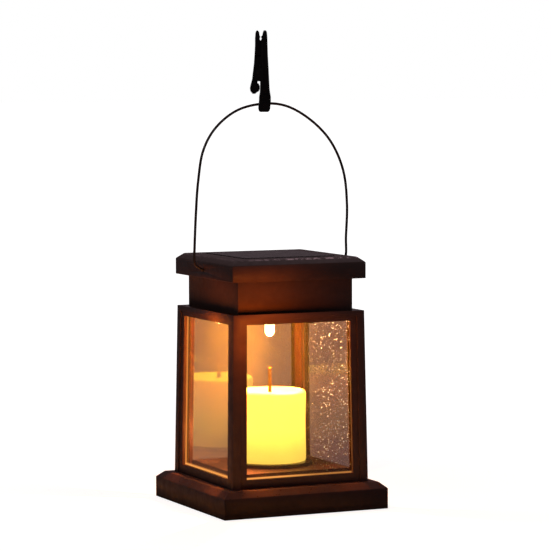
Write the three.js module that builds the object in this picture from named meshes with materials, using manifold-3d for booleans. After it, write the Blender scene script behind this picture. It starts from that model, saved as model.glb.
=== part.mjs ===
// A small solar lantern that hangs by a wire bail and a spring clip.
// Millimetres, +Z up. The origin is the middle of the underside. The bail hinges about X.
import * as THREE from "three";
import { mergeVertices } from "three/addons/utils/BufferGeometryUtils.js";
import Module from "manifold-3d";

const wasm = await Module();
wasm.setup();

// ---- Driving dimensions -------------------------------------------------------------------

const CORNERS = [[1, 1], [-1, 1], [-1, -1], [1, -1]]; // signs of x and y
const SIDES = [["front", 0], ["right", 90], ["back", 180], ["left", 270]]; // turns about Z, degrees
const GAP = 0.3; // clearance between pieces that nest

// Base: a shallow shell with a chamfered top edge and a raised floor for the candle.
const BASE_HALF = 45;
const BASE_SIDE_Z = 10.3;
const BASE_TOP_Z = 13.4;
const BASE_CHAMFER = 3.6;
const BASE_WALL = 2;
const FLOOR_Z = 19.8;
const PLINTH_HALF = 30.5;
const COVER_THICK = 2;

// Frame: a square tube that leans in towards its top, with a window in each side.
const FRAME_HALF = 37.4;
const FRAME_TOP_HALF = 36;
const FRAME_TOP_Z = 100.1;
const FRAME_WALL = 2.5;
const FRAME_LEDGE = 2.5;
const WINDOW_HALF = 29.4;
const WINDOW_Z = 18;
const WINDOW_TOP_Z = 95;
const FIELD_HALF = 33.1; // sunk field round each window, between the corner posts
const FIELD_TOP_Z = 97.2;
const FIELD_DEPTH = 0.7;
const PANE_THICK = 1.2;
const PANE_HALF = 31.2;
const FRAME_BORE_HALF = 30.2; // opening at the top that the neck plugs into

// Candle: a hollow moulded pillar on a dark seat, with a stub of wick.
const CANDLE_R = 18.4;
const CANDLE_WALL = 1.5;
const CANDLE_TOP_Z = 58;
const SEAT_R = 21.4;
const SEAT_THICK = 2;
const WICK_R = 1;
const WICK_TOP_Z = 70;

// Cap: neck, lid, solar panel and the electronics between them.
const NECK_HALF = 31.5;
const NECK_WALL = 1.8;
const SPIGOT_HALF = 29.9;
const SPIGOT_Z = 95.2;
const LID_HALF = 36.7;
const LID_Z = 116.3;
const LID_SIDE_Z = 124.5;
const LID_TOP_Z = 127.2;
const LID_CHAMFER = 3.4;
const LID_WALL = 2;
const FLANGE_THICK = 1.8;
const PANEL_HALF = 25;
const PANEL_RECESS = 1.7;
const CEILING_THICK = 1.6;
const CAP_SCREW_AT = 26; // x and y of the long corner screws

// Light-emitting diode that hangs from the ceiling, pointing down at the wick.
const LED_R = 2.5;
const LED_TIP_Z = 85.6;
const LED_FLANGE_Z = 93.4;
const LEAD_AT = 1.27;
const BOARD_Z = 104.2;
const BOARD_THICK = 1.2;

// Battery, an AAA cell on its side.
const CELL_R = 5.2;
const CELL_LENGTH = 44;
const CELL_Y = 16;
const CELL_Z = 103.9;

// Bail: one steel wire from hole to hole over the lid.
const WIRE_R = 0.66;
const HINGE_Z = 120.4;
const HOLE_R = 0.86;
const BAIL_ARC = [
  [-41.6, 124.8], [-41.4, 132], [-40.7, 147], [-39.3, 165], [-36.3, 181], [-29.5, 192.1],
  [-17.5, 200.8], [-2.6, 204], [9.8, 202.7], [23.4, 195.5], [34.6, 184.6], [41.8, 169.6],
  [44, 152], [43.4, 135], [43, 124.8],
]; // x and z
const BAIL_END = [[32.6, 120.4], [36.2, 120.4], [37.6, 120.9], [41, 123.2]]; // hole to kink

// Clip: two arms on a pin. Its own frame has its origin where the wire passes through its eye.
const CLIP_AT = [-2.6, 0, 204];
const CLIP_TURN = THREE.MathUtils.degToRad(-24.6); // how far the clip is twisted on the wire
const CLIP_DEPTH = 6.4;
const PIVOT = [-1.9, 19];
const PIN_R = 0.7;
const CHEEK_OUT = 2.6; // the cheeks that hide the lever, measured from the middle of the clip
const CHEEK_IN = 1.9;
const LEVER_HALF = 1.75; // the lever between the cheeks
const KNUCKLE_THICK = 0.75;
const KNUCKLE_R = 1.8; // the lever's round boss on the pin
const KNUCKLE_ROOM_R = 2.25; // the hollow that the boss and the spring's coil turn in
const BAND_DEPTH = 0.35; // sunk band down each side of the arm
const TONGUE_HALF = 2.35; // the tail's inner tongue, which enters the arm's channel
const CHANNEL_HALF = 2.6;
const EYE_HALF_WIDTH = 2.65; // the eye, wide enough for the wire to cross it at a slant
const EYE_HALF_HEIGHT = 0.95;
const TEETH_Z = [24.4, 31.8]; // the toothed stretch of both jaws

// ---- Materials ----------------------------------------------------------------------------

const finish = (color, roughness, metalness = 0, extra = {}) =>
  new THREE.MeshStandardMaterial({ color, roughness, metalness, ...extra });

const LOOKS = {
  housing: finish(0x2a1a17, 0.45),
  pane: finish(0xe9d9c8, 0.05, 0, { transparent: true, opacity: 0.25 }),
  candle: finish(0xf6e08a, 0.5, 0, { emissive: 0xffb940 }),
  wick: finish(0x6b3a1e, 0.8),
  led: finish(0xfff2c0, 0.1, 0, { emissive: 0xffd070 }),
  bail: finish(0x1b1715, 0.4, 0.9),
  clip: finish(0x111113, 0.55),
  steel: finish(0xb8b8ba, 0.3, 1),
  brass: finish(0xc9a050, 0.35, 1),
  solarCell: finish(0x141a33, 0.25),
  resin: finish(0xdfe6ee, 0.05, 0, { transparent: true, opacity: 0.3 }),
  board: finish(0x1d5a34, 0.5),
  battery: finish(0x2c7a4b, 0.35),
  white: finish(0xe6e2d8, 0.5),
  redWire: finish(0xa3231d, 0.5),
  blackWire: finish(0x17171a, 0.5),
};

// ---- Solids -------------------------------------------------------------------------------

// A three.js geometry as a manifold solid, and back.
function solid(geometry) {
  const bare = geometry.clone();
  for (const name of Object.keys(bare.attributes)) {
    if (name !== "position") bare.deleteAttribute(name);
  }
  const merged = mergeVertices(bare, 1e-4);
  return new wasm.Manifold(
    new wasm.Mesh({
      numProp: 3,
      vertProperties: new Float32Array(merged.attributes.position.array),
      triVerts: new Uint32Array(merged.index.array),
    }),
  );
}

function geometryOf(manifold) {
  const mesh = manifold.getMesh();
  const geometry = new THREE.BufferGeometry();
  geometry.setAttribute("position", new THREE.BufferAttribute(mesh.vertProperties, 3));
  geometry.setIndex(new THREE.BufferAttribute(mesh.triVerts, 1));
  const flat = geometry.toNonIndexed();
  flat.computeVertexNormals();
  return flat;
}

const join = (...solids) => solids.reduce((a, b) => a.add(b));
const cut = (body, ...tools) => tools.reduce((a, b) => a.subtract(b), body);

function box(x0, x1, y0, y1, z0, z1) {
  const g = new THREE.BoxGeometry(x1 - x0, y1 - y0, z1 - z0);
  return solid(g.translate((x0 + x1) / 2, (y0 + y1) / 2, (z0 + z1) / 2));
}

const squareBox = (half, z0, z1) => box(-half, half, -half, half, z0, z1);

// A square frustum on the Z axis: half0 wide at z0, half1 at z1.
function frustum(half0, z0, half1, z1) {
  const g = new THREE.CylinderGeometry(half1 * Math.SQRT2, half0 * Math.SQRT2, z1 - z0, 4);
  g.rotateY(Math.PI / 4).rotateX(Math.PI / 2);
  return solid(g.translate(0, 0, (z0 + z1) / 2));
}

function rod(r, z0, z1, x = 0, y = 0, sides = 16) {
  const g = new THREE.CylinderGeometry(r, r, z1 - z0, sides);
  return solid(g.rotateX(Math.PI / 2).translate(x, y, (z0 + z1) / 2));
}

function rodX(r, x0, x1, y, z, sides = 16) {
  const g = new THREE.CylinderGeometry(r, r, x1 - x0, sides);
  return solid(g.rotateZ(Math.PI / 2).translate((x0 + x1) / 2, y, z));
}

function rodY(r, y0, y1, x, z, sides = 16) {
  const g = new THREE.CylinderGeometry(r, r, y1 - y0, sides);
  return solid(g.translate(x, (y0 + y1) / 2, z));
}

// A turned solid: [radius, z] from the bottom of the axis to its top.
function turned(profile, sides = 40) {
  const points = profile.map(([r, z]) => new THREE.Vector2(r, z));
  return solid(new THREE.LatheGeometry(points, sides).rotateX(Math.PI / 2));
}

// A round wire of radius r along a curve.
function sweep(curve, r, steps, sides = 8) {
  const section = new THREE.Shape().absarc(0, 0, r, 0, 2 * Math.PI, false);
  const outline = new THREE.Shape(section.getSpacedPoints(sides).slice(0, sides));
  return solid(
    new THREE.ExtrudeGeometry(outline, { steps, extrudePath: curve, curveSegments: 1 }),
  );
}

const curveThrough = (points) =>
  new THREE.CatmullRomCurve3(points.map((p) => new THREE.Vector3(...p)), false, "centripetal");

// The frame leans in: this shrinks x and y with height, and leaves the base size at its foot.
function leanIn(manifold) {
  const mesh = manifold.getMesh();
  const v = mesh.vertProperties;
  const shrink = (FRAME_HALF - FRAME_TOP_HALF) / FRAME_HALF / (FRAME_TOP_Z - BASE_TOP_Z);
  for (let i = 0; i < v.length; i += 3) {
    const s = 1 - shrink * (v[i + 2] - BASE_TOP_Z);
    v[i] *= s;
    v[i + 1] *= s;
  }
  return new wasm.Manifold(
    new wasm.Mesh({ numProp: 3, vertProperties: v, triVerts: mesh.triVerts }),
  );
}

// ---- Assembly helper ----------------------------------------------------------------------

const lantern = new THREE.Group();

function add(name, manifold, look, parent = lantern) {
  const mesh = new THREE.Mesh(geometryOf(manifold), look);
  mesh.name = name;
  parent.add(mesh);
  return mesh;
}

// A pan-head screw on the Z axis: head below headTop, shank up to tip.
const screw = (headR, headZ, headTop, shankR, tip) =>
  join(rod(headR, headZ, headTop), rod(shankR, headTop - 0.1, tip, 0, 0, 8));

// ---- Base ---------------------------------------------------------------------------------

const BASE_SCREW_AT = FRAME_HALF - 3.2; // in the solid corner of each post
const BASE_SCREW_HEAD_R = 2.2;
const CANDLE_SCREW_AT = 12;

function baseShell() {
  const deckUnder = BASE_TOP_Z - BASE_WALL;
  let shell = join(
    squareBox(BASE_HALF, 0, BASE_SIDE_Z),
    frustum(BASE_HALF, BASE_SIDE_Z, BASE_HALF - BASE_CHAMFER, BASE_TOP_Z),
    squareBox(PLINTH_HALF, BASE_TOP_Z - 1, FLOOR_Z),
  );
  shell = cut(
    shell,
    squareBox(BASE_HALF - BASE_WALL, -1, BASE_SIDE_Z - 0.7),
    frustum(BASE_HALF - BASE_WALL, BASE_SIDE_Z - 0.7, BASE_HALF - 5.2, deckUnder),
    squareBox(PLINTH_HALF - BASE_WALL, deckUnder - 1, FLOOR_Z - 1.8),
  );
  for (const [sx, sy] of CORNERS) {
    const x = sx * BASE_SCREW_AT, y = sy * BASE_SCREW_AT;
    shell = shell.add(rod(3.2, COVER_THICK + 0.1, deckUnder + 0.5, x, y));
    shell = shell.subtract(rod(1.5, 0, BASE_TOP_Z + 1, x, y));
  }
  for (const s of [1, -1]) {
    shell = shell.subtract(rod(1.3, FLOOR_Z - 3, FLOOR_Z + 1, s * CANDLE_SCREW_AT, 0));
  }
  return shell;
}

function baseCover() {
  let cover = squareBox(BASE_HALF - BASE_WALL - GAP, 0, COVER_THICK);
  for (const [sx, sy] of CORNERS) {
    const x = sx * BASE_SCREW_AT, y = sy * BASE_SCREW_AT;
    cover = cut(cover, rod(2.6, -1, 1.2, x, y), rod(1.5, 0, 3, x, y));
  }
  return cover;
}

add("base_shell", baseShell(), LOOKS.housing);
add("base_cover", baseCover(), LOOKS.housing);
CORNERS.forEach(([sx, sy], i) => {
  const s = add(`base_screw_${i + 1}`, screw(BASE_SCREW_HEAD_R, 0.2, 1.2, 1.15, 24), LOOKS.steel);
  s.position.set(sx * BASE_SCREW_AT, sy * BASE_SCREW_AT, 0);
});

// ---- Frame and panes ----------------------------------------------------------------------

// Inner edge of the pane, and of the lip behind it, measured from the axis at the frame's foot.
const PANE_OUT = FRAME_HALF - FRAME_WALL - 0.25;
const PANE_IN = PANE_OUT - PANE_THICK;
const LIP_OUT = PANE_IN - 0.35;
const LIP_IN = LIP_OUT - 1.2;
const BLOCK_IN = 31.5;

const turnedAboutZ = (manifold, degrees) => manifold.rotate([0, 0, degrees]);

function frame() {
  const inner = FRAME_HALF - FRAME_WALL;
  const ledgeZ = FRAME_TOP_Z - FRAME_LEDGE;
  let body = cut(
    squareBox(FRAME_HALF, BASE_TOP_Z, FRAME_TOP_Z),
    squareBox(inner, BASE_TOP_Z - 1, ledgeZ),
  );
  const field = box(-FIELD_HALF, FIELD_HALF, -FRAME_HALF - 1, -FRAME_HALF + FIELD_DEPTH,
    BASE_TOP_Z - 1, FIELD_TOP_Z);
  const window = box(-WINDOW_HALF, WINDOW_HALF, -FRAME_HALF - 1, -inner + 1,
    WINDOW_Z, WINDOW_TOP_Z);
  for (const [, turn] of SIDES) {
    body = cut(body, turnedAboutZ(field, turn), turnedAboutZ(window, turn));
  }
  // A solid inner corner in each post, with a lip on each side that holds a pane from behind.
  const post = join(
    box(BLOCK_IN, inner + 0.5, BLOCK_IN, inner + 0.5, BASE_TOP_Z, ledgeZ + 0.5),
    box(WINDOW_HALF + 0.3, BLOCK_IN + 0.7, LIP_IN, LIP_OUT, BASE_TOP_Z, ledgeZ + 0.5),
    box(LIP_IN, LIP_OUT, WINDOW_HALF + 0.3, BLOCK_IN + 0.7, BASE_TOP_Z, ledgeZ + 0.5),
  );
  for (const [, turn] of SIDES) body = body.add(turnedAboutZ(post, turn));
  body = leanIn(body).subtract(squareBox(FRAME_BORE_HALF, ledgeZ - 1, FRAME_TOP_Z + 1));
  for (const [sx, sy] of CORNERS) {
    body = body.subtract(rod(1.3, 0, 25, sx * BASE_SCREW_AT, sy * BASE_SCREW_AT));
  }
  return body;
}

add("frame", frame(), LOOKS.housing);
for (const [side, turn] of SIDES) {
  const pane = box(-PANE_HALF, PANE_HALF, -PANE_OUT, -PANE_IN, BASE_TOP_Z + GAP, 97.2);
  add(`pane_${side}`, turnedAboutZ(leanIn(pane), turn), LOOKS.pane);
}

// ---- Candle -------------------------------------------------------------------------------

const SEAT_TOP_Z = FLOOR_Z + SEAT_THICK;

function candleSeat() {
  const spigotR = CANDLE_R - CANDLE_WALL - GAP;
  let seat = turned([
    [0, FLOOR_Z], [SEAT_R, FLOOR_Z], [SEAT_R, SEAT_TOP_Z - 0.4], [SEAT_R - 0.4, SEAT_TOP_Z],
    [spigotR, SEAT_TOP_Z], [spigotR, SEAT_TOP_Z + 3], [0, SEAT_TOP_Z + 3],
  ]);
  for (const s of [1, -1]) {
    seat = seat.subtract(rod(1.15, FLOOR_Z - 1, SEAT_TOP_Z, s * CANDLE_SCREW_AT, 0, 16));
  }
  return seat;
}

function candleShell() {
  const inR = CANDLE_R - CANDLE_WALL;
  const edge = 2; // radius of the rounded top edge
  const profile = [[inR, SEAT_TOP_Z + 0.1], [CANDLE_R, SEAT_TOP_Z + 0.1]];
  for (let i = 0; i <= 4; i++) {
    const a = (i / 4) * (Math.PI / 2);
    profile.push([
      CANDLE_R - edge + edge * Math.cos(a),
      CANDLE_TOP_Z - edge + edge * Math.sin(a),
    ]);
  }
  profile.push([14, CANDLE_TOP_Z - 0.4], [0, CANDLE_TOP_Z - 0.9]); // slightly dished
  profile.push([0, CANDLE_TOP_Z - 2.4], [inR - 1, CANDLE_TOP_Z - 2.2], [inR, CANDLE_TOP_Z - 3.2]);
  profile.push([inR, SEAT_TOP_Z + 0.1]);
  return turned(profile, 48).subtract(rod(WICK_R + 0.15, CANDLE_TOP_Z - 5, CANDLE_TOP_Z + 1));
}

const candleWick = () => turned([
  [0, 50], [1.8, 50], [1.8, CANDLE_TOP_Z - 2.7], [WICK_R, CANDLE_TOP_Z - 2.7],
  [WICK_R, WICK_TOP_Z - 1], [WICK_R * 0.7, WICK_TOP_Z], [0, WICK_TOP_Z],
], 16);

add("candle_seat", candleSeat(), LOOKS.housing);
add("candle_shell", candleShell(), LOOKS.candle);
add("candle_wick", candleWick(), LOOKS.wick);
[1, -1].forEach((s, i) => {
  const screwSolid = screw(2, FLOOR_Z - 3, FLOOR_Z - 1.9, 1, SEAT_TOP_Z - 0.5);
  const made = add(`candle_screw_${i + 1}`, screwSolid, LOOKS.steel);
  made.position.x = s * CANDLE_SCREW_AT;
});

// ---- Cap ----------------------------------------------------------------------------------

const NECK_FLANGE_TOP = LID_Z + FLANGE_THICK;
const TUBE_TOP_Z = 112; // where the neck's screw tubes meet the lid's bosses
const CEILING_HALF = SPIGOT_HALF - 1.6 - GAP;
const SWITCH = { x: 14.9, y: -21.5, slot: 3.6 }; // slot: half its length

function neckHousing() {
  const flangeHalf = LID_HALF - LID_WALL - GAP;
  let neck = join(
    squareBox(SPIGOT_HALF, SPIGOT_Z, FRAME_TOP_Z),
    squareBox(NECK_HALF, FRAME_TOP_Z, LID_Z),
    squareBox(flangeHalf, LID_Z, NECK_FLANGE_TOP),
  );
  neck = cut(
    neck,
    squareBox(SPIGOT_HALF - 1.6, SPIGOT_Z - 1, FRAME_TOP_Z + 1.4),
    squareBox(NECK_HALF - NECK_WALL, FRAME_TOP_Z + 1.4, NECK_FLANGE_TOP + 1),
  );
  for (const [sx, sy] of CORNERS) {
    const x = sx * CAP_SCREW_AT, y = sy * CAP_SCREW_AT;
    const toWall = NECK_HALF - 0.5;
    const web = box(Math.min(x, sx * toWall), Math.max(x, sx * toWall),
      Math.min(y, sy * toWall), Math.max(y, sy * toWall), FRAME_TOP_Z + 1.4, TUBE_TOP_Z);
    neck = neck.add(rod(3, SPIGOT_Z + CEILING_THICK + 0.1, TUBE_TOP_Z, x, y)).add(web);
    neck = neck.subtract(rod(1.3, SPIGOT_Z, TUBE_TOP_Z + 1, x, y, 16));
  }
  // Trim what the corner tubes would leave outside the spigot.
  const outside = cut(squareBox(40, SPIGOT_Z - 1, FRAME_TOP_Z), squareBox(SPIGOT_HALF, 90, 101));
  return neck.subtract(outside);
}

function lid() {
  const skirt = LID_HALF - LID_WALL;
  const roofUnder = LID_TOP_Z - PANEL_RECESS - 1.4;
  let body = join(
    squareBox(LID_HALF, LID_Z, LID_SIDE_Z),
    frustum(LID_HALF, LID_SIDE_Z, LID_HALF - LID_CHAMFER, LID_TOP_Z),
  );
  body = cut(
    body,
    squareBox(skirt, LID_Z - 1, 122.3),
    frustum(skirt, 122.3, skirt - 2.4, roofUnder),
    squareBox(PANEL_HALF + 0.25, LID_TOP_Z - PANEL_RECESS, LID_TOP_Z + 1),
    rod(2.2, roofUnder - 1, LID_TOP_Z, -12, -4), // wire hole under the panel
  );
  for (const [sx, sy] of CORNERS) {
    const x = sx * CAP_SCREW_AT, y = sy * CAP_SCREW_AT;
    body = body.add(rod(2.9, TUBE_TOP_Z + 0.2, roofUnder + 0.3, x, y));
    body = body.subtract(rod(1.2, TUBE_TOP_Z - 1, roofUnder - 0.5, x, y, 16));
  }
  return cut(body, rodX(HOLE_R, -40, -LID_HALF + 4, 0, HINGE_Z),
    rodX(HOLE_R, LID_HALF - 4, 40, 0, HINGE_Z));
}

function ceilingPlate() {
  const top = SPIGOT_Z + CEILING_THICK;
  let plate = squareBox(CEILING_HALF, SPIGOT_Z, top);
  for (const [sx, sy] of CORNERS) {
    plate = plate.subtract(
      rod(1.3, 90, 100, sx * CAP_SCREW_AT, sy * CAP_SCREW_AT, 16));
  }
  plate = cut(plate, rod(2.4, 90, 100),
    box(SWITCH.x - SWITCH.slot, SWITCH.x + SWITCH.slot, SWITCH.y - 1.3, SWITCH.y + 1.3, 90, 100));
  for (const s of [1, -1]) plate = plate.add(rod(2, top - 0.2, BOARD_Z - 0.05, s * 14, -13));
  return plate;
}

add("neck_housing", neckHousing(), LOOKS.housing);
add("lid", lid(), LOOKS.housing);
add("ceiling_plate", ceilingPlate(), LOOKS.housing);
CORNERS.forEach(([sx, sy], i) => {
  const made = add(`cap_screw_${i + 1}`, screw(2.05, 94.1, SPIGOT_Z, 1.05, 120), LOOKS.steel);
  made.position.set(sx * CAP_SCREW_AT, sy * CAP_SCREW_AT, 0);
});

// Solar panel: a cell board under clear resin, in the lid's recess.
const panelZ = LID_TOP_Z - PANEL_RECESS + 0.1;
add("solar_board", squareBox(PANEL_HALF, panelZ, panelZ + 0.9), LOOKS.solarCell);
add("solar_resin", join(
  squareBox(PANEL_HALF, panelZ + 0.9, panelZ + 1.5),
  frustum(PANEL_HALF, panelZ + 1.5, PANEL_HALF - 0.6, panelZ + 1.9),
), LOOKS.resin);

// ---- Electronics --------------------------------------------------------------------------

add("led_bezel", cut(
  rod(3.6, 91.6, SPIGOT_Z, 0, 0, 24),
  rod(LED_R + 0.15, 90, 94, 0, 0, 24),
  rod(3.1, LED_FLANGE_Z - 0.1, SPIGOT_Z + 1, 0, 0, 24),
), LOOKS.housing);

function ledLens() {
  const profile = [[0, LED_TIP_Z]];
  for (let i = 1; i <= 5; i++) {
    const a = (i / 5) * (Math.PI / 2);
    profile.push([LED_R * Math.sin(a), LED_TIP_Z + LED_R * (1 - Math.cos(a))]);
  }
  profile.push([LED_R, LED_FLANGE_Z], [2.95, LED_FLANGE_Z], [2.95, LED_FLANGE_Z + 1],
    [0, LED_FLANGE_Z + 1]);
  return turned(profile, 20);
}

add("led_lens", ledLens(), LOOKS.led);
[["anode", 1], ["cathode", -1]].forEach(([name, s]) => {
  const x = s * LEAD_AT;
  add(`led_${name}`, box(x - 0.25, x + 0.25, -0.25, 0.25, LED_FLANGE_Z + 1.05, BOARD_Z - 0.1),
    LOOKS.steel);
});

const boardTop = BOARD_Z + BOARD_THICK;
add("circuit_board", join(
  box(-18, 18, -17, 6, BOARD_Z, boardTop),
  box(-4, 2, -8, -3, boardTop - 0.1, boardTop + 1.6), // driver chip
  rod(1.9, boardTop - 0.1, boardTop + 4, 9, -8), // coil
  rod(1.6, boardTop - 0.1, boardTop + 5, -11, -11), // capacitor
), LOOKS.board);

const switchBodyZ = SPIGOT_Z + CEILING_THICK + 0.1;
add("switch_body", cut(
  box(SWITCH.x - 5.4, SWITCH.x + 5.4, SWITCH.y - 2.7, SWITCH.y + 2.7, switchBodyZ, switchBodyZ + 5),
  box(SWITCH.x - SWITCH.slot, SWITCH.x + SWITCH.slot, SWITCH.y - 1.3, SWITCH.y + 1.3,
    90, switchBodyZ + 2.4),
), LOOKS.white);
add("switch_slider", box(SWITCH.x - 3.3, SWITCH.x - 0.8, SWITCH.y - 1, SWITCH.y + 1,
  93.3, switchBodyZ + 2), LOOKS.blackWire);

// Battery holder: an open tray with a contact plate standing in each end.
const HOLDER_X = 26;
const HOLDER_Y = CELL_R + 1.3;
const CONTACT_TOP_Z = CELL_Z + 6.2; // soldering tabs stand above the tray
add("battery_holder", cut(
  box(-HOLDER_X, HOLDER_X, CELL_Y - HOLDER_Y, CELL_Y + HOLDER_Y, 97.2, CELL_Z + 1.5),
  box(-HOLDER_X + 1.4, HOLDER_X - 1.4, CELL_Y - CELL_R - 0.2, CELL_Y + CELL_R + 0.2,
    CELL_Z - CELL_R - 0.2, 120),
), LOOKS.blackWire);
add("battery", join(
  rodX(CELL_R, -CELL_LENGTH / 2 + 1.4, CELL_LENGTH / 2 + 0.4, CELL_Y, CELL_Z, 24),
  rodX(1.9, CELL_LENGTH / 2, CELL_LENGTH / 2 + 1.5, CELL_Y, CELL_Z),
), LOOKS.battery);
[["plus", 23.95], ["minus", -24.3]].forEach(([name, x]) => {
  add(`battery_contact_${name}`, join(
    box(x - 0.2, x + 0.2, CELL_Y - 4, CELL_Y + 4, CELL_Z - 4, CELL_Z + 4),
    box(x - 0.2, x + 0.2, CELL_Y - 1.5, CELL_Y + 1.5, CELL_Z + 3, CONTACT_TOP_Z),
  ), LOOKS.steel);
});

function contactSpring() {
  const turns = 3, perTurn = 10, points = [];
  for (let i = 0; i <= turns * perTurn; i++) {
    const a = (i / perTurn) * 2 * Math.PI;
    const x = -23.8 + (i / (turns * perTurn)) * 2.7;
    const r = 3.4 - 1.6 * (i / (turns * perTurn)); // a cone that narrows to the cell
    points.push([x, CELL_Y + r * Math.cos(a), CELL_Z + r * Math.sin(a)]);
  }
  return sweep(curveThrough(points), 0.3, turns * perTurn, 6);
}
add("battery_spring", contactSpring(), LOOKS.steel);

const wires = {
  panel_wire_red: [
    LOOKS.redWire,
    [[-11.2, -4, 125.3], [-11.2, -4, 121], [-13, -3, 115], [-13, 1, 109], [-13, 1, 105.5]],
  ],
  panel_wire_black: [
    LOOKS.blackWire,
    [[-12.9, -4, 125.3], [-12.9, -4.4, 121], [-15.6, -4, 115], [-15.8, 1, 109], [-15.8, 1, 105.5]],
  ],
  battery_wire_red: [
    LOOKS.redWire,
    [[23.95, CELL_Y, CONTACT_TOP_Z + 0.1], [23.95, CELL_Y, CONTACT_TOP_Z + 1.4],
      [22.5, 11, 113.2], [15, 3, 110], [15, 3, 105.5]],
  ],
  battery_wire_black: [
    LOOKS.blackWire,
    [[-24.3, CELL_Y, CONTACT_TOP_Z + 0.1], [-24.3, CELL_Y, CONTACT_TOP_Z + 1.4],
      [-22, 11, 113.2], [-8, 4, 110], [-8, 4, 105.5]],
  ],
};
for (const [name, [look, points]] of Object.entries(wires)) {
  add(name, sweep(curveThrough(points), 0.55, 16, 8), look);
}

// ---- Bail ---------------------------------------------------------------------------------

const flatCurve = (points) => curveThrough(points.map(([x, z]) => [x, 0, z]));

function bail() {
  let wire = sweep(flatCurve(BAIL_ARC), WIRE_R, 64);
  for (const [side, [footX]] of [[-1, BAIL_ARC[0]], [1, BAIL_ARC[BAIL_ARC.length - 1]]]) {
    const run = BAIL_END.map(([x, z]) => [side * x, z]);
    run.push([footX, 124.4], [footX, 126]);
    wire = wire.add(sweep(flatCurve(run), WIRE_R, 16));
  }
  return wire;
}

add("bail", bail(), LOOKS.bail);

// ---- Clip ---------------------------------------------------------------------------------

const clip = new THREE.Group();
clip.position.set(...CLIP_AT);
clip.rotation.z = CLIP_TURN;
lantern.add(clip);

// A profile in x and z, made CLIP_DEPTH thick about y = 0.
function plate(outline, depth = CLIP_DEPTH) {
  const shape = new THREE.Shape(outline.map(([x, z]) => new THREE.Vector2(x, z)));
  const g = new THREE.ExtrudeGeometry(shape, { depth, bevelEnabled: false });
  return solid(g.rotateX(Math.PI / 2).translate(0, depth / 2, 0));
}

// Teeth in the face of a jaw: small ridges from z0 to z1, at x, that point along +x or -x.
function teeth(x, towards, z0, z1, count) {
  const pitch = (z1 - z0) / count;
  const outline = [[x - towards * 0.3, z0]];
  for (let i = 0; i < count; i++) {
    outline.push([x, z0 + i * pitch + 0.05], [x + towards * 0.12, z0 + (i + 0.5) * pitch]);
  }
  outline.push([x, z1 - 0.05], [x - towards * 0.3, z1]);
  return plate(towards > 0 ? outline : outline.reverse());
}

const half = CLIP_DEPTH / 2;
const [pivotX, pivotZ] = PIVOT;

const CHEEK = [
  [-0.6, 11.3], [-0.6, 23.9], [-3.5, 23.9], [-3.9, 20], [-4.3, 16], [-4.7, 12.8], [-4.4, 11.3],
];
const BAND = [
  [-0.4, 4.5], [2.1, 4.5], [1.95, 8], [1.5, 14], [1.25, 20], [0.95, 27], [0.8, 31.6],
  [-0.4, 31.6],
];
const TAIL = [
  [-5.9, 5], [-4.6, 5], [-3.7, 5.8], [-3.35, 7.2], [-3.35, 8.8], [-3.5, 10], [-6.8, 10],
  [-7.3, 7.9], [-7, 6.3],
];
const TONGUE = [
  [-4, 5.8], [-3.1, 6], [-2.5, 6.8], [-2.3, 7.6], [-2.3, 8.9], [-2.6, 9.6], [-2.9, 10.2],
  [-4, 10.6],
];

const between = (inner, outer, side) => [Math.min(side * inner, side * outer),
  Math.max(side * inner, side * outer)];

// Small pyramids in staggered rows on both sides of the arm's foot.
function gripStuds() {
  const high = 0.3, buried = 0.2, studs = [];
  for (let row = 0; row < 6; row++) {
    const count = row % 2 ? 3 : 4;
    for (let i = 0; i < count; i++) {
      const x = 0.05 + (i - (count - 1) / 2) * 1.1;
      const z = -3.1 + row * 1.3;
      for (const side of [1, -1]) {
        const g = new THREE.CylinderGeometry(0.12, 0.5, high + buried, 4);
        if (side < 0) g.rotateX(Math.PI);
        studs.push(solid(g.translate(x, side * (half + (high - buried) / 2), z)));
      }
    }
  }
  return join(...studs);
}

// Diagonal ribs across both sides of the lever's tail.
function tailRibs() {
  const ribs = [-2, -1, 0, 1, 2].map((i) =>
    box(-5, 5, -half - 0.25, half + 0.25, -0.2, 0.2)
      .rotate([0, 45, 0])
      .translate([-5 + i * 0.75, 0, 7.6 + i * 0.75]));
  return join(...ribs).intersect(plate(TAIL, CLIP_DEPTH + 0.5));
}

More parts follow.
